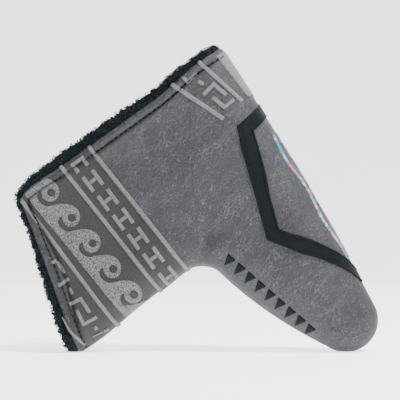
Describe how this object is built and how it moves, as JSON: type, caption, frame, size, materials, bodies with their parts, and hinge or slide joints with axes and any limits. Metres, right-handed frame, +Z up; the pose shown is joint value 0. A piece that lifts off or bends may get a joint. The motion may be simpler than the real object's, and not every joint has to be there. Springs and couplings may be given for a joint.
{
  "type": "putter head cover",
  "caption": "Padded leatherette boot with a fleece lining and embroidered bands that slips over a blade putter's head; its neck corner folds open",
  "frame": {"origin": "middle of the bounding box at the surface that the cover stands on", "axes": "+X towards the toe, +Y from the front face to the back face, +Z up; the cover stands on its toe and the end of its neck"},
  "size_m": [0.1882, 0.0464, 0.1599],
  "materials": {
    "leather": "pebbled grey leatherette with pale rub marks",
    "foam": "thin foam padding",
    "fleece": "dark curly pile",
    "closure_tape": "woven hook and loop tape",
    "dark_thread": "satin stitch",
    "coloured_thread": "satin stitch",
    "grey_thread": "satin stitch"
  },
  "bodies": {
    "pocket": {"pocket_leather": "leather", "pocket_padding": "foam", "pocket_lining": "fleece", "pocket_topstitch": "dark_thread", "sole_figure": "coloured_thread", "border_front": "dark_thread", "border_back": "dark_thread", "triangle_row_front": "dark_thread", "triangle_row_back": "dark_thread", "neck_lines_front": "grey_thread", "neck_lines_back": "grey_thread", "h_row_front": "grey_thread", "h_row_back": "grey_thread", "wave_scroll_front": "grey_thread", "wave_scroll_back": "grey_thread", "key_row_front": "grey_thread", "key_row_back": "grey_thread", "heel_lines_front": "grey_thread", "heel_lines_back": "grey_thread", "heel_keys_front": "grey_thread", "heel_keys_back": "grey_thread"},
    "front_leaf": {"front_leaf_leather": "leather", "front_leaf_lining": "fleece", "front_leaf_topstitch": "dark_thread", "front_leaf_loop_patch": "closure_tape", "leaf_lines_front": "grey_thread", "leaf_h_row_front": "grey_thread", "leaf_wave_scroll_front": "grey_thread", "leaf_key_row_front": "grey_thread"},
    "back_leaf": {"back_leaf_leather": "leather", "back_leaf_lining": "fleece", "back_leaf_topstitch": "dark_thread", "back_leaf_hook_patch": "closure_tape", "leaf_lines_back": "grey_thread", "leaf_h_row_back": "grey_thread", "leaf_wave_scroll_back": "grey_thread", "leaf_key_row_back": "grey_thread"}
  },
  "joints": [
    {"name": "front_leaf_fold", "type": "hinge", "parent": "pocket", "child": "front_leaf", "pos_m": [-0.03959, -0.02016, 0.07638], "axis": [0.3856, -0.0269, 0.9223], "range_deg": [0, 75], "stiffness_Nm_per_rad": 0.01},
    {"name": "back_leaf_fold", "type": "hinge", "parent": "pocket", "child": "back_leaf", "pos_m": [-0.03959, 0.02016, 0.07638], "axis": [-0.3856, -0.0269, -0.9223], "range_deg": [0, 75], "stiffness_Nm_per_rad": 0.01}
  ]
}
